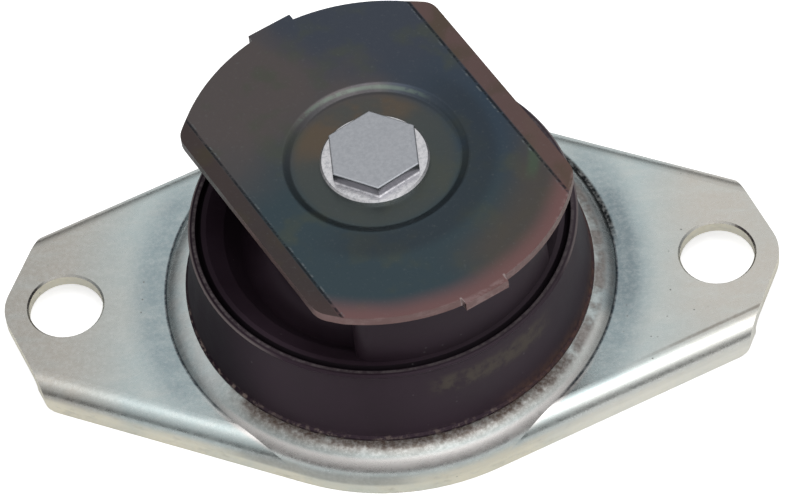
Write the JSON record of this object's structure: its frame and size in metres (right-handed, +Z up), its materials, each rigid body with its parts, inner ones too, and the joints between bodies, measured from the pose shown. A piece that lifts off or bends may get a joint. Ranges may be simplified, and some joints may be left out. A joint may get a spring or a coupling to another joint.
{
  "type": "engine mount",
  "caption": "Rubber engine mount: eared steel base plate, bonded rubber body with buffers, dished limiter plate clamped by a flanged hexagon bolt.",
  "frame": {"origin": "centre of the mount at the height of the base plate's skirt rim, on which it stands", "axes": "+X through the two ear holes, +Y across them, +Z up the clamping bolt towards its head"},
  "size_m": [0.1664, 0.1004, 0.0529],
  "materials": {
    "zinc_plated_steel": "satin zinc plating, faintly blue, light rust stain beside the rubber",
    "black_rubber": "satin moulded rubber",
    "core_steel": "turned steel, satin",
    "chromated_steel": "dark iridescent chromate over steel, satin",
    "bolt_zinc": "bright zinc plating, slightly grained"
  },
  "bodies": {
    "root": {"base_plate": "zinc_plated_steel", "rubber_element": "black_rubber", "inner_core": "core_steel", "limiter_plate": "chromated_steel", "flange_bolt": "bolt_zinc"}
  },
  "joints": []
}
